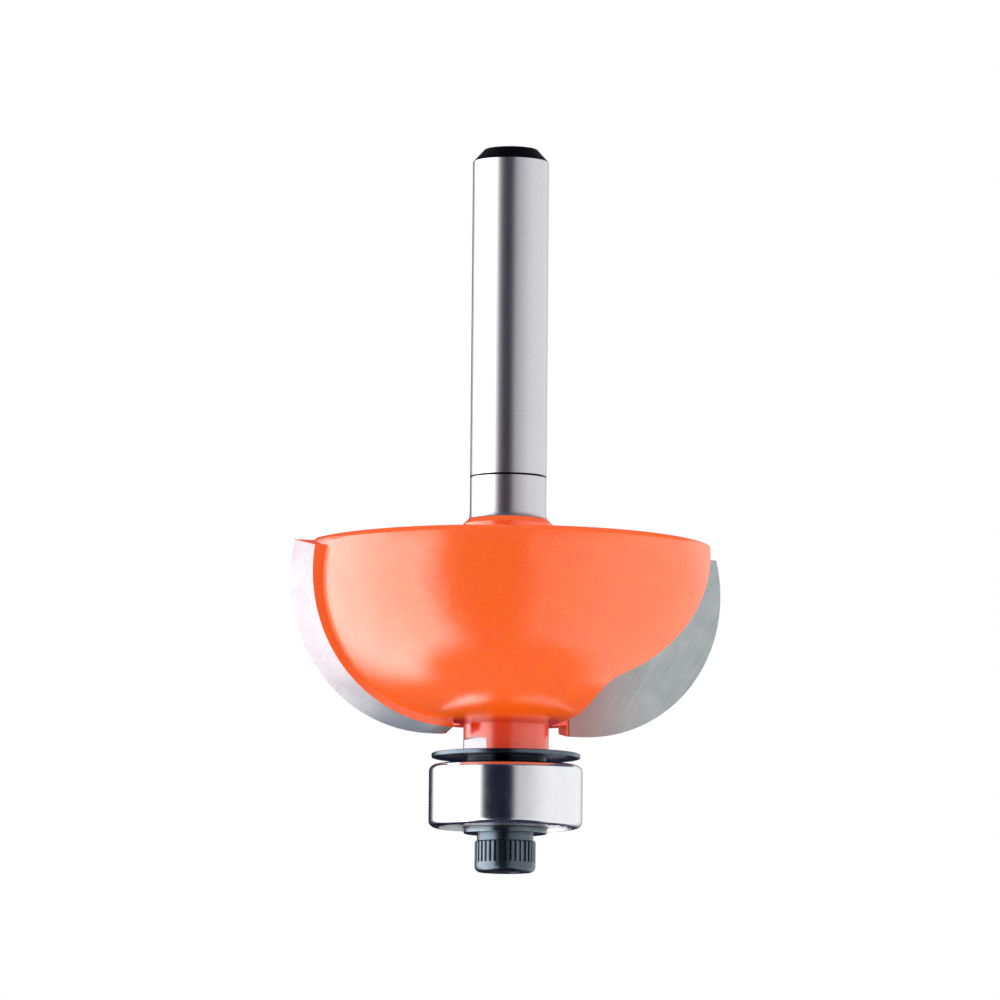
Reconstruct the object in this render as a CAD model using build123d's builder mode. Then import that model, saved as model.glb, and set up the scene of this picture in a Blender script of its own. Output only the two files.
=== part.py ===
from build123d import *
import os
from math import cos, radians, sin, sqrt, tan

# Cove router bit with a guide bearing on its end.
# Millimetres. +Z runs up the shank, and the origin is the middle of the screw head's bottom face.
# Blade A points along +X with its cutting face towards -Y, and blade B is half a turn round from it,
# so the cutter turns clockwise as seen from the shank end.

# ---- shank ----
shank_diameter = 6.35
shank_length = 30.95
shank_chamfer_length = 1.05
shank_chamfer_depth = 0.95
shank_root_length = 0.6         # hollow run-out from the collar to the ground cylinder
shank_root_radius = 1.6

# ---- collar between shank and bowl ----
collar_diameter = 7.5
collar_height = 2.3
collar_chamfer = 0.5
collar_root_radius = 0.9

# ---- cutting profile and blades ----
blade_count = 2
cove_radius = 12.7
cove_offset = 6.35             # from the axis to the centre of the cove arc
blade_lift = 1.5               # lowest cutting point above the shoulder of the neck
blade_top_rise = 2.75          # top of the cutting edge above the centre of the cove arc
shear_angle = 4.35
side_relief_angle = 25.6
end_relief_angle = 9.1
top_slope_angle = 15.0

# ---- carbide tips ----
tip_thickness = 2.4
tip_width = 4.6
tip_inner_reach = 5.25         # from the axis to the tip's inner edge
tip_stand_proud = 0.15         # cutting face above the steel beside it
blade_top_arc = 25.0           # cove arc drawn this far past the widest place, then trimmed by the top

# ---- steel wings behind the tips ----
wing_inner_reach = 4.83
wing_inner_draft = 0.4         # how far the wing's end leans outwards from face to back
wing_root_back = 1.6           # back of the wing at its inner end, behind the axis plane
wing_back_angle = 9.0
steel_side_relief_angle = 57.5  # behind a tip the steel falls away more steeply than the tip
steel_end_relief_angle = 57.0

# ---- bowl ----
bowl_arc_radius = 11.85
bowl_side_step = 1.7           # cutting circle to bowl at the widest place
bowl_under_step = 1.05         # lowest cutting point to the bowl's lowest place
rim_rise = 3.0                 # bowl top above the centre of the cove arc
rim_radius = 0.55

# ---- gullets ----
gullet_wall_radius = 14.78
gullet_centre_offset = -0.3
gullet_centre_rise = 4.35
gullet_foot_wall = 0.05        # hub left outside the neck at a gullet's foot
gullet_foot_radius = 2.86
gullet_corner_radius = 0.5

# ---- neck and arbor ----
neck_diameter = 7.06
neck_length = 2.35
wheel_mark_radius = 7.0
wheel_mark_angle = 17.0
wheel_mark_depth = 0.33
wheel_mark_height = 1.2        # top of the mark above the shoulder of the neck
arbor_clearance = 0.01
arbor_short_fall = 0.15        # arbor end above the clamp washer, so that the screw clamps the bearing
arbor_chamfer = 0.25

# ---- guard washer above the bearing ----
guard_diameter = 12.3
guard_rim_thickness = 0.36
guard_gap = 0.6                # guard rim above the bearing
guard_hub_diameter = 6.7
guard_edge_radius = 0.08

# ---- guide bearing ----
bearing_diameter = 12.7
bearing_bore = 4.7625
bearing_width = 5.16
bearing_corner_radius = 0.55
bore_corner_radius = 0.15
ball_count = 7
ball_share = 0.6                # ball diameter over the thickness of the ring of space it rolls in
ball_clearance = 0.03
race_conformity = 1.06         # race radius over ball radius
race_depth = 0.42
cage_sheet = 0.18
cage_band_width = 0.76
pocket_clearance = 0.03
shield_thickness = 0.2
shield_inset = 0.12            # snap ring below the bearing face
shield_clearance = 0.02
shield_bore_clearance = 0.14
shield_seat_depth = 0.36       # shield seat beyond the outer ring's land
shield_step = 0.12             # inner part of a shield stands this much further out
shield_flange_width = 0.5
snap_ring_height = 0.28
snap_ring_width = 0.5
snap_groove_depth = 0.14
snap_ring_clearance = 0.02
snap_ring_gap_angle = 16.0

# ---- clamp washer and bearing screw ----
clamp_washer_diameter = 6.9
clamp_washer_thickness = 0.5
clamp_washer_edge = 0.12
washer_bore_clearance = 0.08
screw_diameter = 3.175
screw_length = 9.5
screw_tip_chamfer = 0.35
thread_clearance = 0.02
tap_spare_depth = 1.2
drill_point_angle = 118.0
head_diameter = 5.04
head_height = 3.18
head_foot_radius = 0.5
head_shoulder_radius = 0.15
head_top_step = 0.19           # plain band above the knurl, cut in from the head's diameter
head_top_band = 0.6
knurl_foot_band = 0.8
knurl_depth = 0.16
knurl_count = 36
knurl_width_share = 0.55       # share of the pitch that a groove takes
socket_sides = 6
socket_width = 2.381
socket_depth = 1.55

# ---- heights and radii that follow ----
z_clamp_washer = head_height
z_bearing = z_clamp_washer + clamp_washer_thickness
z_bearing_middle = z_bearing + bearing_width / 2
z_bearing_top = z_bearing + bearing_width
z_guard_rim = z_bearing_top + guard_gap
z_neck = z_guard_rim + guard_rim_thickness
z_bowl = z_neck + neck_length
z_cove = z_neck + blade_lift + cove_radius
z_rim = z_cove + rim_rise
z_collar_top = z_rim + collar_height
z_end = z_collar_top + shank_length
z_blade_top = z_cove + blade_top_rise

shank_r = shank_diameter / 2
collar_r = collar_diameter / 2
neck_r = neck_diameter / 2
arbor_r = bearing_bore / 2 - arbor_clearance
screw_r = screw_diameter / 2
tapped_r = screw_r + thread_clearance
cutting_r = cove_offset + cove_radius
ball_diameter = ball_share * (bearing_diameter - bearing_bore) / 2
ball_pitch_diameter = (bearing_diameter + bearing_bore) / 2
ball_r = ball_diameter / 2
ball_pitch_r = ball_pitch_diameter / 2
quarter_turn = 90
half_turn = 180

# ---- planes and directions shared by blade, wing and gullet ----
face_plane = Plane(
    origin=(0, 0, z_cove),
    x_dir=(1, 0, 0),
    z_dir=(0, -cos(radians(shear_angle)), sin(radians(shear_angle))),
)
steel_plane = face_plane.offset(-tip_stand_proud)
relief = Vector(-tan(radians(side_relief_angle)), 1, tan(radians(end_relief_angle))).normalized()
tip_run = tip_thickness / -relief.dot(face_plane.z_dir)     # along the relief, through the tip
back_plane = Plane(face_plane.origin + relief * tip_run, face_plane.x_dir, face_plane.z_dir)
steel_relief = Vector(
    -tan(radians(steel_side_relief_angle)), 1, tan(radians(steel_end_relief_angle))
).normalized()
blade_top_back = blade_top_rise * tan(radians(shear_angle))
blade_top_plane = Plane(
    origin=(0, blade_top_back, z_blade_top),
    z_dir=(0, sin(radians(top_slope_angle)), cos(radians(top_slope_angle))),
)
z_wing_top = z_blade_top - tip_thickness * tan(radians(top_slope_angle))
spare = 2.0                    # how far tools and blanks run past what they cut


def cove_outline(inner_reach):
    """Face of the cove arc, from inner_reach on the axis side to past the top of the blade."""
    with BuildLine() as outline:
        foot = Line((inner_reach, -cove_radius), (cove_offset, -cove_radius))
        edge = CenterArc((cove_offset, 0), cove_radius, -quarter_turn, quarter_turn + blade_top_arc)
        top = Line(edge @ 1, (inner_reach, (edge @ 1).Y))
        Line(top @ 1, foot @ 0)
    return outline.line


# ---- carbide tips ----
# A tip's blank is a crescent plate. It also serves as the tool that mills the tip's seat.
with BuildPart() as tip_blank:
    with BuildSketch(face_plane):
        blank_width = cutting_r + spare - tip_inner_reach
        blank_height = 2 * (cove_radius + spare)
        with Locations((tip_inner_reach, 0)):
            Rectangle(blank_width, blank_height, align=(Align.MIN, Align.CENTER))
        with Locations((cove_offset, 0)):
            Circle(cove_radius - tip_width, mode=Mode.SUBTRACT)
    extrude(amount=-tip_thickness)
    split(bisect_by=blade_top_plane, keep=Keep.BOTTOM)

with BuildPart() as carbide_tip_a:
    with BuildSketch(face_plane):
        with BuildLine():
            add(cove_outline(tip_inner_reach))
        make_face()
    extrude(amount=tip_run + spare, dir=relief)
    add(tip_blank.part, mode=Mode.INTERSECT)
carbide_tip_a.part.label = "carbide_tip_a"

with BuildPart() as carbide_tip_b:
    add(carbide_tip_a.part.rotate(Axis.Z, half_turn))
carbide_tip_b.part.label = "carbide_tip_b"

# ---- cutter body: shank, collar, bowl, neck and arbor turned from one bar ----
bowl_centre_r = cutting_r - bowl_side_step - bowl_arc_radius
z_bowl_centre = z_cove - cove_radius + bowl_under_step + bowl_arc_radius
rim_r = bowl_centre_r + sqrt(bowl_arc_radius**2 - (z_rim - z_bowl_centre) ** 2)
z_arbor_end = z_bearing + arbor_short_fall
z_tapped_top = z_clamp_washer + screw_length + tap_spare_depth
drill_point = tapped_r / tan(radians(drill_point_angle / 2))

with BuildPart() as turned_blank:
    with BuildSketch(Plane.XZ):
        with BuildLine():
            bore = Polyline(
                (0, z_tapped_top + drill_point),
                (tapped_r, z_tapped_top),
                (tapped_r, z_arbor_end),
                (arbor_r - arbor_chamfer, z_arbor_end),
                (arbor_r, z_arbor_end + arbor_chamfer),
                (arbor_r, z_neck),
                (neck_r, z_neck),
                (neck_r, z_bowl),
                (bowl_centre_r, z_bowl_centre - bowl_arc_radius),
            )
            bowl_side = RadiusArc(bore @ 1, (rim_r, z_rim), -bowl_arc_radius, short_sagitta=True)
            collar = Polyline(
                bowl_side @ 1,
                (collar_r, z_rim),
                (collar_r, z_collar_top - collar_chamfer),
                (collar_r - collar_chamfer, z_collar_top),
            )
            shank_root = RadiusArc(collar @ 1, (shank_r, z_collar_top + shank_root_length), shank_root_radius)
            Polyline(
                shank_root @ 1,
                (shank_r, z_end - shank_chamfer_length),
                (shank_r - shank_chamfer_depth, z_end),
                (0, z_end),
                bore @ 0,
            )
        make_face()
    revolve(axis=Axis.Z)
    rim_edge = turned_blank.edges().filter_by(GeomType.CIRCLE).sort_by(SortBy.RADIUS)[-1]
    fillet(rim_edge, rim_radius)
    level_edges = turned_blank.edges().filter_by_position(Axis.Z, z_rim, z_rim)
    fillet(level_edges.filter_by(GeomType.CIRCLE).sort_by(SortBy.RADIUS)[0], collar_root_radius)

# One steel wing: the cove outline run back along the tip's relief and then along the steel's own,
# trimmed in plan and at its top.
with BuildPart() as wing:
    with BuildSketch(face_plane):
        with BuildLine():
            add(cove_outline(wing_inner_reach))
        make_face()
    extrude(amount=tip_run, dir=relief)
    with BuildSketch(back_plane):
        with BuildLine():
            add(cove_outline(wing_inner_reach))
        make_face()
    extrude(amount=cove_radius, dir=steel_relief)
    wing_reach = cutting_r + spare
    wing_front = -(z_cove - z_neck) * tan(radians(shear_angle)) - spare
    wing_tip_back = wing_root_back + (wing_reach - wing_inner_reach) * tan(radians(wing_back_angle))
    with BuildSketch(Plane.XY.offset(z_neck)):
        with BuildLine():
            Polyline(
                (wing_inner_reach, wing_front),
                (wing_inner_reach + wing_inner_draft, wing_root_back),
                (wing_reach, wing_tip_back),
                (wing_reach, wing_front),
                close=True,
            )
        make_face()
    extrude(amount=z_wing_top - z_neck, mode=Mode.INTERSECT)

# One gullet: the milled space in front of a blade, closed off by the steel face and a curved wall.
with BuildPart() as gullet:
    gullet_foot = neck_r + gullet_foot_wall
    with BuildSketch(steel_plane) as gullet_outline:
        gullet_span = cutting_r + spare - gullet_foot
        gullet_low = -(cove_radius + spare)
        gullet_high = rim_rise + spare
        with Locations((gullet_foot, gullet_low)):
            Rectangle(gullet_span, gullet_high - gullet_low, align=(Align.MIN, Align.MIN))
        with Locations((gullet_centre_offset, gullet_centre_rise)):
            Circle(gullet_wall_radius, mode=Mode.SUBTRACT)
        wall_foot = gullet_outline.vertices().group_by(Axis.X)[0].sort_by(Axis.Y)[-1]
        fillet(wall_foot, gullet_foot_radius)
    extrude(amount=cutting_r)
    steel_face = gullet.faces().sort_by(Axis.Y)[-1]
    fillet(steel_face.edges().filter_by(GeomType.CIRCLE), gullet_corner_radius)

# One mark of the grinding wheel on the neck: a flat with a round top.
with BuildPart() as wheel_mark:
    mark_plane = Plane(
        origin=(0, 0, z_neck + wheel_mark_height - wheel_mark_radius),
        z_dir=(cos(radians(wheel_mark_angle)), sin(radians(wheel_mark_angle)), 0),
    ).offset(neck_r - wheel_mark_depth)
    with BuildSketch(mark_plane):
        Circle(wheel_mark_radius)
    extrude(amount=wheel_mark_depth)

with BuildPart() as cutter_body:
    add(turned_blank.part)
    with PolarLocations(0, blade_count):
        add(wing.part)
        add(gullet.part, mode=Mode.SUBTRACT)
        add(wheel_mark.part, mode=Mode.SUBTRACT)
        add(tip_blank.part, mode=Mode.SUBTRACT)
cutter_body.part.label = "cutter_body"

# ---- guard washer: a thin disc on a hub that stands on the bearing's inner ring ----
with BuildPart() as guard_washer:
    with BuildSketch(Plane.XY.offset(z_guard_rim)):
        Circle(guard_diameter / 2)
    extrude(amount=guard_rim_thickness)
    fillet(guard_washer.edges().filter_by(GeomType.CIRCLE), guard_edge_radius)
    with BuildSketch(Plane.XY.offset(z_bearing_top)):
        Circle(guard_hub_diameter / 2)
    extrude(amount=guard_gap)
    with BuildSketch(Plane.XY.offset(z_bearing_top)):
        Circle(bearing_bore / 2)
    extrude(amount=guard_gap + guard_rim_thickness, mode=Mode.SUBTRACT)
guard_washer.part.label = "guard_washer"

# ---- guide bearing rings ----
race_r = ball_r * race_conformity
inner_race_r = ball_pitch_r - ball_r - ball_clearance
outer_race_r = ball_pitch_r + ball_r + ball_clearance
inner_land_r = inner_race_r + race_depth
outer_land_r = outer_race_r - race_depth
shield_seat_r = outer_land_r + shield_seat_depth
snap_groove_r = shield_seat_r + snap_groove_depth
snap_groove_height = snap_ring_height + snap_ring_clearance
shield_pocket_depth = shield_inset + snap_groove_height + shield_thickness

with BuildPart() as bearing_inner_ring:
    with BuildSketch(Plane.XY.offset(z_bearing)):
        Circle(inner_land_r)
        Circle(bearing_bore / 2, mode=Mode.SUBTRACT)
    extrude(amount=bearing_width)
    ring_edges = bearing_inner_ring.edges().filter_by(GeomType.CIRCLE)
    fillet(ring_edges.group_by(SortBy.RADIUS)[0], bore_corner_radius)
    with BuildSketch(Plane.XZ):
        with Locations((inner_race_r + race_r, z_bearing_middle)):
            Circle(race_r)
    revolve(axis=Axis.Z, mode=Mode.SUBTRACT)
bearing_inner_ring.part.label = "bearing_inner_ring"

with BuildPart() as bearing_outer_ring:
    with BuildSketch(Plane.XY.offset(z_bearing)):
        Circle(bearing_diameter / 2)
    extrude(amount=bearing_width)
    fillet(bearing_outer_ring.edges().filter_by(GeomType.CIRCLE), bearing_corner_radius)
    with BuildSketch(Plane.XY.offset(z_bearing)):
        Circle(outer_land_r)
    extrude(amount=bearing_width, mode=Mode.SUBTRACT)
    with BuildSketch(Plane.XZ):
        with Locations((outer_race_r - race_r, z_bearing_middle)):
            Circle(race_r)
        for side in (-1, 1):
            with Locations((outer_land_r, z_bearing_middle + side * bearing_width / 2)):
                near_face = Align.MIN if side < 0 else Align.MAX
                Rectangle(shield_seat_depth, shield_pocket_depth, align=(Align.MIN, near_face))
            groove_z = z_bearing_middle + side * (bearing_width / 2 - shield_inset)
            with Locations((shield_seat_r, groove_z)):
                Rectangle(snap_groove_depth, snap_groove_height, align=(Align.MIN, near_face))
    revolve(axis=Axis.Z, mode=Mode.SUBTRACT)
bearing_outer_ring.part.label = "bearing_outer_ring"

# ---- balls, on the middle plane of the bearing ----
balls = []
for index, place in enumerate(PolarLocations(ball_pitch_r, ball_count)):
    with BuildPart(Plane.XY.offset(z_bearing_middle)) as ball:
        with Locations(place):
            Sphere(ball_r)
    ball.part.label = f"ball_{index + 1}"
    balls.append(ball.part)

# ---- ribbon cage: two pressed rings with a dome over each ball, laid flat to flat ----
pocket_r = ball_r + pocket_clearance
middle_plane = Plane.XY.offset(z_bearing_middle)
cages = []
for name, side in (("cage_upper", 1), ("cage_lower", -1)):
    with BuildPart(middle_plane) as cage:
        with BuildSketch(middle_plane):
            Circle(ball_pitch_r + cage_band_width / 2)
            Circle(ball_pitch_r - cage_band_width / 2, mode=Mode.SUBTRACT)
        extrude(amount=side * cage_sheet)
        with PolarLocations(ball_pitch_r, ball_count):
            Sphere(pocket_r + cage_sheet)
        with BuildSketch(middle_plane):
            Circle(ball_pitch_r + cage_band_width / 2)
            Circle(ball_pitch_r - cage_band_width / 2, mode=Mode.SUBTRACT)
        extrude(amount=side * ball_diameter, mode=Mode.INTERSECT)
        with PolarLocations(ball_pitch_r, ball_count):
            Sphere(pocket_r, mode=Mode.SUBTRACT)
    cage.part.label = name
    cages.append(cage.part)

# ---- shields and the snap rings that hold them, one pair at each face ----
shield_r = shield_seat_r - shield_clearance
shield_bore_r = inner_land_r + shield_bore_clearance
snap_ring_r = snap_groove_r - snap_ring_clearance
closures = []
for name, side in (("upper", 1), ("lower", -1)):
    z_face = z_bearing_middle + side * bearing_width / 2
    z_shield = z_face - side * shield_pocket_depth
    z_step = z_shield + side * shield_step
    shield_shoulder_r = shield_r - shield_flange_width
    with BuildPart() as shield:
        with BuildSketch(Plane.XZ):
            with BuildLine():
                Polyline(
                    (shield_r, z_shield),
                    (shield_r, z_shield + side * shield_thickness),
                    (shield_shoulder_r, z_shield + side * shield_thickness),
                    (shield_shoulder_r - shield_step, z_step + side * shield_thickness),
                    (shield_bore_r, z_step + side * shield_thickness),
                    (shield_bore_r, z_step),
                    (shield_shoulder_r - shield_step, z_step),
                    (shield_shoulder_r, z_shield),
                    close=True,
                )
            make_face()
        revolve(axis=Axis.Z)
    shield.part.label = f"{name}_shield"
    closures.append(shield.part)

    z_snap = z_shield + side * shield_thickness
    with BuildPart() as snap_ring:
        with BuildSketch(Plane.XY.offset(z_snap)):
            Circle(snap_ring_r)
            Circle(snap_ring_r - snap_ring_width, mode=Mode.SUBTRACT)
            gap_reach = bearing_diameter * sin(radians(snap_ring_gap_angle / 2))
            gap_depth = bearing_diameter * cos(radians(snap_ring_gap_angle / 2))
            with BuildLine():
                Polyline((0, 0), (gap_reach, -gap_depth), (-gap_reach, -gap_depth), close=True)
            make_face(mode=Mode.SUBTRACT)
        extrude(amount=side * snap_ring_height)
    snap_ring.part.label = f"{name}_snap_ring"
    closures.append(snap_ring.part)

# ---- clamp washer under the inner ring ----
with BuildPart() as clamp_washer:
    with BuildSketch(Plane.XY.offset(z_clamp_washer)):
        Circle(clamp_washer_diameter / 2)
    extrude(amount=clamp_washer_thickness)
    fillet(clamp_washer.edges().filter_by(GeomType.CIRCLE), clamp_washer_edge)
    Hole(screw_r + washer_bore_clearance)
clamp_washer.part.label = "clamp_washer"

# ---- bearing screw: knurled socket head with a plain band at its root ----
head_r = head_diameter / 2
band_r = head_r - head_top_step
z_knurl_top = head_height - head_top_band
with BuildPart() as bearing_screw:
    with BuildSketch(Plane.XZ):
        with BuildLine():
            Polyline(
                (0, 0),
                (head_r, 0),
                (head_r, z_knurl_top),
                (band_r, z_knurl_top),
                (band_r, head_height),
                (screw_r, head_height),
                (screw_r, head_height + screw_length - screw_tip_chamfer),
                (screw_r - screw_tip_chamfer, head_height + screw_length),
                (0, head_height + screw_length),
                close=True,
            )
        make_face()
    revolve(axis=Axis.Z)
    head_rims = bearing_screw.edges().filter_by(GeomType.CIRCLE)
    fillet(head_rims.filter_by_position(Axis.Z, 0, 0), head_foot_radius)
    shoulder_rims = head_rims.filter_by_position(Axis.Z, z_knurl_top, z_knurl_top)
    fillet(shoulder_rims.sort_by(SortBy.RADIUS)[-1], head_shoulder_radius)
    groove_side = 2 * head_r * sin(radians(half_turn / knurl_count)) * knurl_width_share
    groove_corners = [(-knurl_depth, 0), (knurl_depth, -groove_side), (knurl_depth, groove_side)]
    with BuildSketch(Plane.XY.offset(knurl_foot_band)):
        with PolarLocations(head_r, knurl_count):
            Polygon(*groove_corners, align=None)
    extrude(amount=z_knurl_top - knurl_foot_band, mode=Mode.SUBTRACT)
    with BuildSketch(Plane.XY):
        RegularPolygon(socket_width / 2, socket_sides, major_radius=False)
    extrude(amount=socket_depth, mode=Mode.SUBTRACT)
bearing_screw.part.label = "bearing_screw"

# ---- one file for each piece ----
pieces = [
    cutter_body.part,
    carbide_tip_a.part,
    carbide_tip_b.part,
    guard_washer.part,
    bearing_inner_ring.part,
    bearing_outer_ring.part,
    *balls,
    *cages,
    *closures,
    clamp_washer.part,
    bearing_screw.part,
]
os.makedirs("parts", exist_ok=True)
for piece in pieces:
    export_step(piece, f"parts/{piece.label}.step")
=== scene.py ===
import math

import bmesh
import bpy
from mathutils import Matrix, Vector


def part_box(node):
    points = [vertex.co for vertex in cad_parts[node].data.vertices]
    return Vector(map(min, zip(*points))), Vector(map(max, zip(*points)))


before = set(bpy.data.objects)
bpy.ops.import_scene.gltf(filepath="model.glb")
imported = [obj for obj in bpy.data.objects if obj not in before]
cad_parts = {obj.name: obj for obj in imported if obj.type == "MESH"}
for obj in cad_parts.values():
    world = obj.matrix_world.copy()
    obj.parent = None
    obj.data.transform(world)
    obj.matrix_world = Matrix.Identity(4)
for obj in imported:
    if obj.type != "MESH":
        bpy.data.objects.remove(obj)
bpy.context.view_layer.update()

mm = 0.001
print("frame loaded:", len(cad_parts), "nodes")


class Wire:
    # an output socket of a shader tree, on which arithmetic adds Math nodes
    def __init__(self, graph, socket):
        self.graph = graph
        self.socket = socket

    def __add__(self, other):
        return self.graph.calc("ADD", self, other)

    def __radd__(self, other):
        return self.graph.calc("ADD", other, self)

    def __sub__(self, other):
        return self.graph.calc("SUBTRACT", self, other)

    def __rsub__(self, other):
        return self.graph.calc("SUBTRACT", other, self)

    def __mul__(self, other):
        return self.graph.calc("MULTIPLY", self, other)

    def __rmul__(self, other):
        return self.graph.calc("MULTIPLY", other, self)

    def __gt__(self, other):
        return self.graph.calc("GREATER_THAN", self, other)

    def __lt__(self, other):
        return self.graph.calc("LESS_THAN", self, other)

    def __abs__(self):
        return self.graph.calc("ABSOLUTE", self)


class Graph:
    # a shader tree, whose nodes all come from its node method
    def __init__(self, tree):
        self.tree = tree
        self.tree.nodes.clear()

    def node(self, kind, settings=None, inputs=None):
        made = self.tree.nodes.new(kind)
        for name, value in (settings or {}).items():
            setattr(made, name, value)
        for name, value in (inputs or {}).items():
            if isinstance(value, Wire):
                self.tree.links.new(value.socket, made.inputs[name])
            else:
                made.inputs[name].default_value = value
        return made

    def out(self, made, name=0):
        return Wire(self, made.outputs[name])

    def calc(self, operation, *values):
        return self.out(self.node("ShaderNodeMath", {"operation": operation}, dict(enumerate(values))))

    def split(self, vector):
        parts = self.node("ShaderNodeSeparateXYZ", None, {"Vector": vector})
        return [self.out(parts, axis) for axis in ("X", "Y", "Z")]

    def step(self, value, low, high):
        # smooth rise from 0 at low to 1 at high, or a fall where low is the higher one
        inputs = {"Value": value, "From Min": low, "From Max": high}
        return self.out(self.node("ShaderNodeMapRange", {"interpolation_type": "SMOOTHSTEP"}, inputs))

    def edge(self, value, middle, half):
        # smooth rise that starts and ends half its width from the middle
        return self.step(value, middle - half, middle + half)

    def mixColour(self, factor, first, second):
        # by number, because the Mix node's colour sockets share their names with others
        mixer = self.node("ShaderNodeMix", {"data_type": "RGBA"}, {0: factor, 6: first, 7: second})
        return self.out(mixer, 2)

    def noise(self, vector, scale, detail, roughness=0.5):
        inputs = {"Vector": vector, "Scale": scale, "Detail": detail, "Roughness": roughness}
        return self.out(self.node("ShaderNodeTexNoise", None, inputs))

    def stretched(self, vector, scale, turn=(0, 0, 0)):
        inputs = {"Vector": vector, "Rotation": turn, "Scale": scale}
        return self.out(self.node("ShaderNodeMapping", {"vector_type": "TEXTURE"}, inputs))

    def bump(self, height, distance):
        return self.out(self.node("ShaderNodeBump", None, {"Height": height, "Distance": distance}))

    def place(self):
        # where a point of the surface lies in the object, in millimetres
        coords = self.out(self.node("ShaderNodeTexCoord"), "Object")
        inputs = {"Vector": coords, "Scale": 1 / mm}
        return self.out(self.node("ShaderNodeVectorMath", {"operation": "SCALE"}, inputs))

    def finish(self, **sockets):
        # the surface shader; a keyword names its socket, with _ for a blank
        inputs = {name.replace("_", " "): value for name, value in sockets.items()}
        shader = self.node("ShaderNodeBsdfPrincipled", None, inputs)
        self.node("ShaderNodeOutputMaterial", None, {"Surface": self.out(shader)})


def newMaterial(name):
    made = bpy.data.materials.new(name)
    made.use_nodes = True
    return made, Graph(made.node_tree)


def rgb(red, green, blue):
    return (red, green, blue, 1.0)


def dress(material, *nodeNames):
    for nodeName in nodeNames:
        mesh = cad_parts[nodeName].data
        mesh.materials.clear()
        mesh.materials.append(material)


def topOf(nodeName):
    # highest point of a node, in millimetres
    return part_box(nodeName)[1].z / mm


# the cutter body has an orange coat, a bare ground shank with a black end, and bare wheel marks; the wheel
# marks and the coat where neck and bowl meet are darkened as painted shade
cutter = {
    # places in millimetres, down from the end of the shank
    "blackDepth": 1.07,
    "lineDepth": 27.48,           # ring that shows how deep the shank goes into the collet
    "lineWidth": 0.17,
    "coatDepth": 31.0,
    "coatEdge": 0.06,
    # up from the foot of the neck, and out from the axis
    "markHeight": 1.22,
    "markReach": 3.2,             # to the flat of a wheel mark
    "markSlack": 0.012,
    "markTurn": 17.0,             # degrees round from +X
    "rootShadeHeight": 3.7,            # painted shade: redder, darker coat where neck and bowl meet, standing in for the shade and orange bounce light there
    "rootShadeReach": (4.0, 6.5),
    # colours
    "coat": rgb(0.99, 0.142, 0.003),
    "coatDeep": rgb(0.99, 0.088, 0.002),
    "coatRootShade": rgb(0.99, 0.062, 0.002),
    "speckColour": rgb(0.45, 0.05, 0.01),
    "steel": rgb(0.58, 0.58, 0.60),
    "steelDark": rgb(0.46, 0.46, 0.49),
    # painted shade: the wheel marks' bare steel is darker than the shank's, to offset the strong light
    # from the left
    "mark": rgb(0.235, 0.23, 0.243),
    "black": rgb(0.010, 0.009, 0.013),
    "line": rgb(0.010, 0.010, 0.012),
    # mottling of the coat: clouds, fine grain and a few specks, each coming in between two noise values
    "cloud": {"scale": 0.55, "detail": 3.0},
    "cloudTint": (0.3, 0.75),
    "cloudDull": (0.2, 0.8),
    "grain": {"scale": 6.5, "detail": 1.0},
    "grainTint": (0.3, 0.7),
    "grainShare": 0.65,
    "speck": {"scale": 3.1, "detail": 1.0},
    "speckTint": (0.74, 0.78),
    "speckShare": 0.3,
    # rings that grinding left on the steel
    "rings": {"scale": 1.4, "detail": 3.0, "roughness": 0.6},
    "ringStretch": (1.0, 1.0, 0.012),
    "ringTint": (0.35, 0.7),
    # roughness, and what each pattern adds to it or takes off
    "coatRoughness": 0.23,
    "cloudRoughness": 0.06,
    "grainGloss": 0.05,
    "steelRoughness": 0.24,
    "ringRoughness": 0.12,
    "blackRoughness": 0.2,
    # unevenness: the coat's orange peel, coarse and fine, and the rings
    "peel": {"scale": 0.9, "detail": 2.0},
    "peelShare": 0.35,
    "finePeel": {"scale": 4.0, "detail": 2.0},
    "finePeelShare": 0.10,
    "ringShare": 0.02,
    "unevenHeight": 0.03,
    "ior": 1.85,
}


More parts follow.
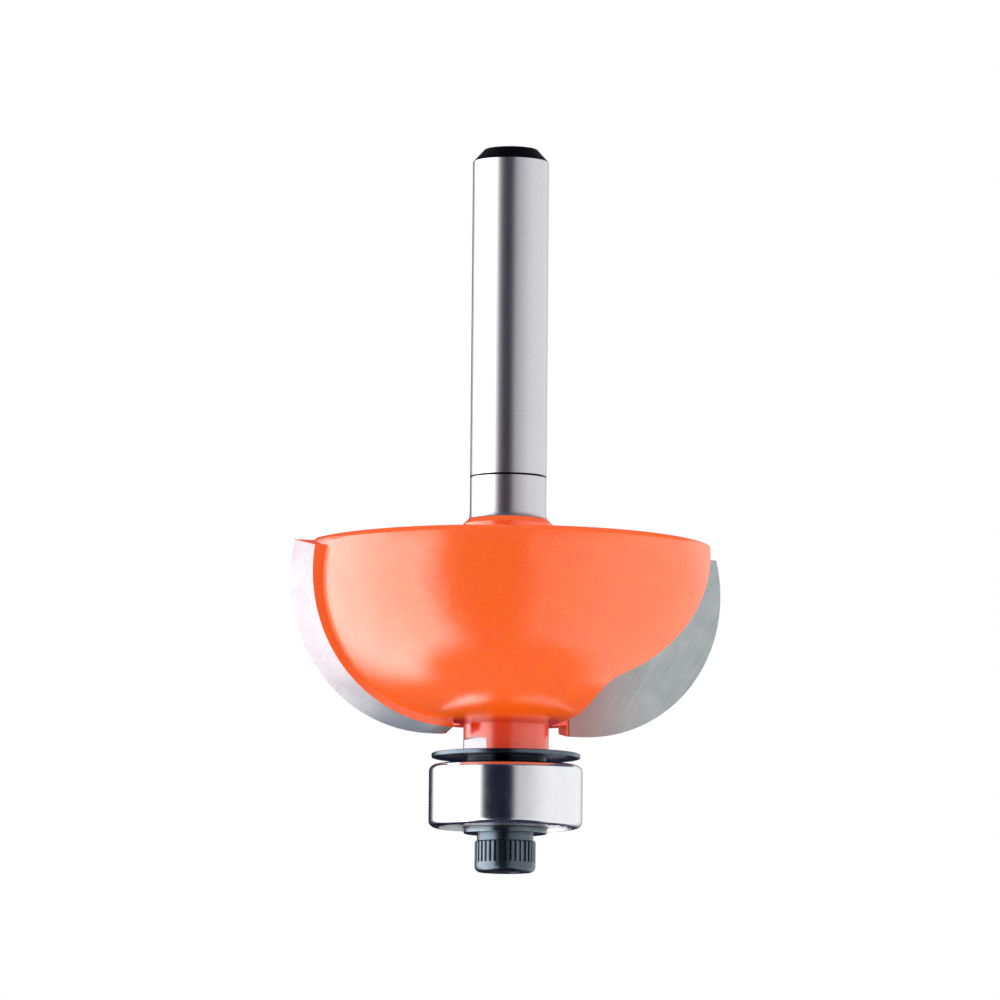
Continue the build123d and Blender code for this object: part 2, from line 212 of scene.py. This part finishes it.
def makeCutterMaterial(values):
    material, g = newMaterial("cutterFinish")
    place = g.place()
    x, y, z = g.split(place)

    # which finish lies where
    shankEnd = topOf("cutter_body")
    neckFoot = topOf("guard_washer")              # the guard lies against it
    turn = math.radians(values["markTurn"])
    fromAxis = abs(x * math.cos(turn) + y * math.sin(turn))
    onFlat = abs(fromAxis - values["markReach"]) < values["markSlack"]
    onMark = onFlat * (z < neckFoot + values["markHeight"])
    coated = (1 - g.edge(z, shankEnd - values["coatDepth"], values["coatEdge"])) * (1 - onMark)
    bare = 1 - coated
    blackEnd = z > shankEnd - values["blackDepth"]
    onLine = abs(z - (shankEnd - values["lineDepth"])) < values["lineWidth"] / 2
    reach = g.calc("SQRT", x * x + y * y)
    # painted shade: where neck and bowl meet the coat turns redder and darker
    rootShade = (1 - g.step(reach, *values["rootShadeReach"])) * (z < neckFoot + values["rootShadeHeight"])

    cloud = g.noise(place, **values["cloud"])
    grain = g.step(g.noise(place, **values["grain"]), *values["grainTint"])
    speck = g.step(g.noise(place, **values["speck"]), *values["speckTint"])
    share = values["grainShare"]
    mottle = g.step(cloud, *values["cloudTint"]) * (1 - share) + grain * share
    coat = g.mixColour(mottle, values["coat"], values["coatDeep"])
    coat = g.mixColour(rootShade, coat, values["coatRootShade"])
    coat = g.mixColour(speck * values["speckShare"], coat, values["speckColour"])

    rings = g.noise(g.stretched(place, values["ringStretch"]), **values["rings"])
    steel = g.mixColour(g.step(rings, *values["ringTint"]), values["steel"], values["steelDark"])
    # painted shade on the wheel marks
    steel = g.mixColour(onMark, steel, values["mark"])
    steel = g.mixColour(blackEnd, steel, values["black"])
    steel = g.mixColour(onLine, steel, values["line"])

    coatRough = values["coatRoughness"] + g.step(cloud, *values["cloudDull"]) * values["cloudRoughness"]
    coatRough = coatRough - grain * values["grainGloss"]
    steelRough = values["steelRoughness"] + rings * values["ringRoughness"]
    steelRough = steelRough + blackEnd * values["blackRoughness"]
    peel = g.noise(place, **values["peel"]) * values["peelShare"]
    peel = peel + g.noise(place, **values["finePeel"]) * values["finePeelShare"]
    uneven = peel * coated + rings * bare * values["ringShare"]
    g.finish(
        Base_Color=g.mixColour(coated, steel, coat),
        Metallic=bare,
        Roughness=coatRough * coated + steelRough * bare,
        IOR=values["ior"],
        Normal=g.bump(uneven, values["unevenHeight"] * mm))
    return material


dress(makeCutterMaterial(cutter), "cutter_body")
print("cutter body dressed")


# the carbide tips are ground on their faces and keep some coat on their tops; their relief faces carry
# painted shade, turning to a painted highlight at the foot
carbide = {
    # places in millimetres, down from the top of a tip
    "middleDepth": 2.75,          # where a cutting face crosses the axis plane
    "footHighlightDepth": (15.75, 11.55),  # painted highlight on the relief face: all foot colour, and none
    # out from the axis, and back from the axis plane
    "heatReach": (5.0, 13.0),     # full tint, and none
    "topBack": 0.21,              # front edge of the top
    "reliefSlack": 0.02,
    "topSlack": 0.03,
    # angles in degrees
    "shear": 4.35,                # lean of the cutting faces
    "topSlope": 15.0,
    "lineTurn": 32.0,             # direction of the grinding lines
    # colours
    "light": rgb(0.56, 0.61, 0.62),
    "dark": rgb(0.36, 0.40, 0.41),
    "heat": rgb(0.41, 0.255, 0.25),
    # painted shade: the relief colours are darker than the rake faces' carbide, to offset the strong left
    # light
    "relief": rgb(0.32, 0.288, 0.308),
    "reliefDark": rgb(0.26, 0.235, 0.251),
    # painted highlight: the near-white foot colours stand in for the left light that the rough ground
    # relief scatters near its foot
    "foot": rgb(0.96, 1.0, 1.0),
    "footHighlightDark": rgb(0.64, 0.72, 0.80),
    "coat": rgb(0.93, 0.07, 0.008),
    # grinding lines and clouds, each coming in between two noise values
    "lines": {"scale": 1.0, "detail": 4.0, "roughness": 0.65},
    "lineStretch": (0.05, 1.0, 6.0),
    "lineTint": (0.3, 0.72),
    "lineShare": 0.7,
    "cloud": {"scale": 0.5, "detail": 2.0},
    "cloudTint": (0.3, 0.7),
    "roughness": 0.26,
    "reliefRoughness": 0.36,
    "lineRoughness": 0.18,
    "lineHeight": 0.004,
    "ior": 2.0,
}


def makeCarbideMaterial(values):
    material, g = newMaterial("groundCarbide")
    place = g.place()
    x, y, z = g.split(place)

    # which face lies where, alike on both tips
    tipTop = topOf("carbide_tip_a")
    back = y * g.calc("SIGN", x)
    faceBack = (z - (tipTop - values["middleDepth"])) * math.tan(math.radians(values["shear"]))
    onRelief = back - faceBack > values["reliefSlack"]
    slope = math.radians(values["topSlope"])
    aboveTop = (back - values["topBack"]) * math.sin(slope) + (z - tipTop) * math.cos(slope)
    painted = aboveTop > -values["topSlack"]
    heated = 1 - g.step(abs(x), *values["heatReach"])
    footHighlightShare = g.step(z, *(tipTop - depth for depth in values["footHighlightDepth"]))

    turn = (0, math.radians(values["lineTurn"]), 0)
    lines = g.noise(g.stretched(place, values["lineStretch"], turn), **values["lines"])
    cloud = g.noise(place, **values["cloud"])
    share = values["lineShare"]
    shade = g.step(lines, *values["lineTint"]) * share + g.step(cloud, *values["cloudTint"]) * (1 - share)
    face = g.mixColour(heated, g.mixColour(shade, values["light"], values["dark"]), values["heat"])
    # painted shade on the relief faces, turning to a painted highlight toward their foot
    relief = g.mixColour(shade, values["relief"], values["reliefDark"])
    relief = g.mixColour(footHighlightShare, g.mixColour(shade, values["foot"], values["footHighlightDark"]), relief)
    ground = g.mixColour(onRelief, face, relief)

    added = values["reliefRoughness"] - values["roughness"]
    g.finish(
        Base_Color=g.mixColour(painted, ground, values["coat"]),
        Metallic=1 - painted,
        Roughness=values["roughness"] + onRelief * added + lines * values["lineRoughness"],
        IOR=values["ior"],
        Normal=g.bump(lines, values["lineHeight"] * mm))
    return material


dress(makeCarbideMaterial(carbide), "carbide_tip_a", "carbide_tip_b")
print("carbide tips dressed")


# marks of turning and clouds, alike on all the small steel parts, each coming in between two noise values
turned = {
    "lines": {"scale": 1.6, "detail": 3.0, "roughness": 0.6},
    "lineStretch": (1.0, 1.0, 0.02),
    "lineTint": (0.35, 0.7),
    "lineShare": 0.5,
    "cloud": {"scale": 1.1, "detail": 3.0},
    "cloudTint": (0.35, 0.75),
    "cloudRoughness": 0.08,
}

# the steel parts of the guide bearing, then the dark washers and the screw; line heights in millimetres
steels = {
    "bearingSteel": {
        "nodes": ["bearing_outer_ring", "bearing_inner_ring"],
        "light": rgb(0.72, 0.72, 0.74),
        "dark": rgb(0.66, 0.66, 0.69),
        "roughness": 0.13,
        "lineHeight": 0.0004,
    },
    "ballSteel": {
        "nodes": [f"ball_{number}" for number in range(1, 8)],
        "light": rgb(0.76, 0.76, 0.78),
        "dark": rgb(0.72, 0.72, 0.74),
        "roughness": 0.07,
        "lineHeight": 0.0001,
    },
    "cageSteel": {
        "nodes": ["cage_upper", "cage_lower"],
        "light": rgb(0.58, 0.57, 0.55),
        "dark": rgb(0.47, 0.46, 0.44),
        "roughness": 0.32,
        "lineHeight": 0.001,
    },
    "shieldSteel": {
        "nodes": ["upper_shield", "lower_shield"],
        "light": rgb(0.70, 0.70, 0.72),
        "dark": rgb(0.60, 0.60, 0.62),
        "roughness": 0.20,
        "lineHeight": 0.0008,
    },
    "snapRingSteel": {
        "nodes": ["upper_snap_ring", "lower_snap_ring"],
        "light": rgb(0.62, 0.62, 0.64),
        "dark": rgb(0.50, 0.50, 0.52),
        "roughness": 0.26,
        "lineHeight": 0.001,
    },
    "guardBlack": {
        "nodes": ["guard_washer"],
        "light": rgb(0.10, 0.13, 0.165),
        "dark": rgb(0.08, 0.096, 0.125),
        "roughness": 0.2,
        "lineHeight": 0.001,
        "hub": rgb(0.012, 0.014, 0.019),
        "rimDepth": 0.375,        # all that lies lower than this below the rim's top is hub, painted near black as shade between the guard's rim and the bearing
    },
    "washerOxide": {
        "nodes": ["clamp_washer"],
        "light": rgb(0.135, 0.17, 0.19),
        "dark": rgb(0.105, 0.13, 0.15),
        "roughness": 0.18,
        "lineHeight": 0.001,
    },
    "screwOxide": {
        "nodes": ["bearing_screw"],
        "light": rgb(0.105, 0.13, 0.155),
        "dark": rgb(0.075, 0.09, 0.115),
        "roughness": 0.24,
        "lineHeight": 0.002,
    },
}


def makeSteelMaterial(name, values):
    material, g = newMaterial(name)
    place = g.place()
    lines = g.noise(g.stretched(place, values["lineStretch"]), **values["lines"])
    cloud = g.noise(place, **values["cloud"])
    share = values["lineShare"]
    shade = g.step(lines, *values["lineTint"]) * share + g.step(cloud, *values["cloudTint"]) * (1 - share)
    colour = g.mixColour(shade, values["light"], values["dark"])
    # painted shade: the guard washer's hub is made near black
    if "hub" in values:
        height = g.split(place)[2]
        onShadedHub = height < topOf(values["nodes"][0]) - values["rimDepth"]
        colour = g.mixColour(onShadedHub, colour, values["hub"])
    g.finish(
        Base_Color=colour,
        Metallic=1.0,
        Roughness=values["roughness"] + cloud * values["cloudRoughness"],
        Normal=g.bump(lines, values["lineHeight"] * mm))
    return material


for name, values in steels.items():
    dress(makeSteelMaterial(name, {**turned, **values}), *values["nodes"])
print("bearing, washers and screw dressed")


view = {
    "target": (-0.628, 0.235, 30.90),             # millimetres
    "direction": (0.3479, 0.9304, 0.1156),
    "distance": 600.0,
    "roll": 0.5,                                  # degrees
    "lens": 260.56,
    "sensor": 36.0,
    "nearest": 10.0,
    "farthest": 50000.0,
}


def makeCamera(values):
    camera = bpy.data.objects.new("camera", bpy.data.cameras.new("camera"))
    bpy.context.scene.collection.objects.link(camera)
    camera.data.lens = values["lens"]
    camera.data.sensor_width = values["sensor"]
    camera.data.clip_start = values["nearest"] * mm
    camera.data.clip_end = values["farthest"] * mm
    forward = Vector(values["direction"]).normalized()
    camera.location = (Vector(values["target"]) - forward * values["distance"]) * mm
    roll = Matrix.Rotation(math.radians(values["roll"]), 3, "Z").to_quaternion()
    camera.rotation_mode = "QUATERNION"
    camera.rotation_quaternion = forward.to_track_quat("-Z", "Y") @ roll
    bpy.context.scene.camera = camera


# all the light comes from the world, with angles in degrees: round from the camera, right positive, and up
studioLight = {
    # reflections see two soft boxes; each grows stronger by "more" along "moreReach"
    "left": {
        "start": -131.0,
        "stop": -40.0,
        "edges": (20.0, 9.0),
        "strength": 3.3,
        "more": 0.33,
        "moreReach": (-50.0, -95.0),
    },
    "right": {
        "start": 13.0,
        "stop": 162.0,
        "edges": (5.0, 22.0),
        "strength": 0.7,
        "more": 0.70,
        "moreReach": (15.0, 75.0),
    },
    "boxTop": 26.0,
    "topEdge": 3.0,
    "boxFoot": -59.5,
    "backFoot": -30.0,            # the boxes' foot is higher behind the object
    "backReach": (130.0, 160.0),
    "footEdge": 5.0,
    # round the boxes it is almost dark, and what is dark is bluish
    "above": 0.15,
    "below": 0.03,
    "behindLow": 0.06,            # between the boxes, behind and low down
    "behindReach": (-22.0, -58.0),
    "dim": 0.03,
    "gap": rgb(0.35, 0.35, 1.0),
    "gapLight": 0.3,              # light that is no longer bluish
    # matt surfaces see an even dome, weaker in front
    "dome": 1.42,
    "frontDip": 0.45,
    "frontReach": (60.0, 10.0),
}


def makeWorld(values, forward):
    world = bpy.data.worlds.new("studio")
    bpy.context.scene.world = world
    world.use_nodes = True
    world.cycles.sampling_method = "NONE"         # so that the dome stays out of reflections
    g = Graph(world.node_tree)
    x, y, z = g.split(g.out(g.node("ShaderNodeTexCoord"), "Generated"))
    front = Vector(forward[:2]).normalized()
    across = x * front.y - y * front.x
    toward = x * -front.x - y * front.y
    turn = g.calc("ARCTAN2", across, toward) * math.degrees(1)
    height = g.calc("ARCSINE", z) * math.degrees(1)

    def between(start, stop, edges):
        return g.edge(turn, start, edges[0]) * (1 - g.edge(turn, stop, edges[1]))

    def softBox(side):
        light = between(side["start"], side["stop"], side["edges"]) * side["strength"]
        return light * (1 + g.step(turn, *side["moreReach"]) * side["more"])

    left, right = values["left"], values["right"]
    over = g.edge(height, values["boxTop"], values["topEdge"])
    rise = values["backFoot"] - values["boxFoot"]
    foot = values["boxFoot"] + g.step(abs(turn), *values["backReach"]) * rise
    under = 1 - g.edge(height, foot, values["footEdge"])
    light = (softBox(left) + softBox(right)) * (1 - over - under)
    light = light + over * values["above"] + under * values["below"]
    behind = 1 - between(left["start"], right["stop"], (left["edges"][0], right["edges"][1]))
    light = light + behind * g.step(height, *values["behindReach"]) * values["behindLow"]
    tint = g.mixColour(g.step(light, 0.0, values["gapLight"]), values["gap"], rgb(1, 1, 1))
    dome = (1 - g.step(abs(turn), *values["frontReach"]) * values["frontDip"]) * values["dome"]

    rays = g.node("ShaderNodeLightPath")
    seen, mirrored = g.out(rays, "Is Camera Ray"), g.out(rays, "Is Glossy Ray")
    colour = g.mixColour(mirrored, rgb(1, 1, 1), tint)
    unmirrored = dome * (1 - seen) + seen         # the camera itself sees plain white
    strength = (light + values["dim"]) * mirrored + unmirrored * (1 - mirrored)
    backdrop = g.node("ShaderNodeBackground", None, {"Color": colour, "Strength": strength})
    g.node("ShaderNodeOutputWorld", None, {"Surface": g.out(backdrop)})


# the floor fades out towards its edge and isn't seen from below
floorPlate = {
    "reach": 420.0,               # millimetres
    "fade": (0.3, 0.95),          # shares of the reach
    "colour": rgb(0.78, 0.78, 0.78),
    "segments": 96,
}


def makeFloor(values):
    shape = bmesh.new()
    bmesh.ops.create_circle(shape, cap_ends=True, segments=values["segments"], radius=values["reach"] * mm)
    mesh = bpy.data.meshes.new("floor")
    shape.to_mesh(mesh)
    shape.free()
    floor = bpy.data.objects.new("floor", mesh)
    bpy.context.scene.collection.objects.link(floor)
    floor.visible_glossy = False
    floor.visible_diffuse = False
    floor.visible_shadow = False

    material, g = newMaterial("floor")
    x, y, z = g.split(g.place())
    distance = g.calc("SQRT", x * x + y * y)
    fade = g.step(distance, *(values["reach"] * share for share in values["fade"]))
    fromBelow = g.out(g.node("ShaderNodeNewGeometry"), "Backfacing")
    unseen = g.calc("MAXIMUM", fade, fromBelow)
    matt = g.out(g.node("ShaderNodeBsdfDiffuse", None, {"Color": values["colour"]}))
    clear = g.out(g.node("ShaderNodeBsdfTransparent"))
    blend = g.out(g.node("ShaderNodeMixShader", None, {0: unseen, 1: matt, 2: clear}))
    g.node("ShaderNodeOutputMaterial", None, {"Surface": blend})
    mesh.materials.append(material)


makeCamera(view)
makeWorld(studioLight, view["direction"])
makeFloor(floorPlate)
bpy.context.scene.view_settings.view_transform = "Standard"
print("studio made")
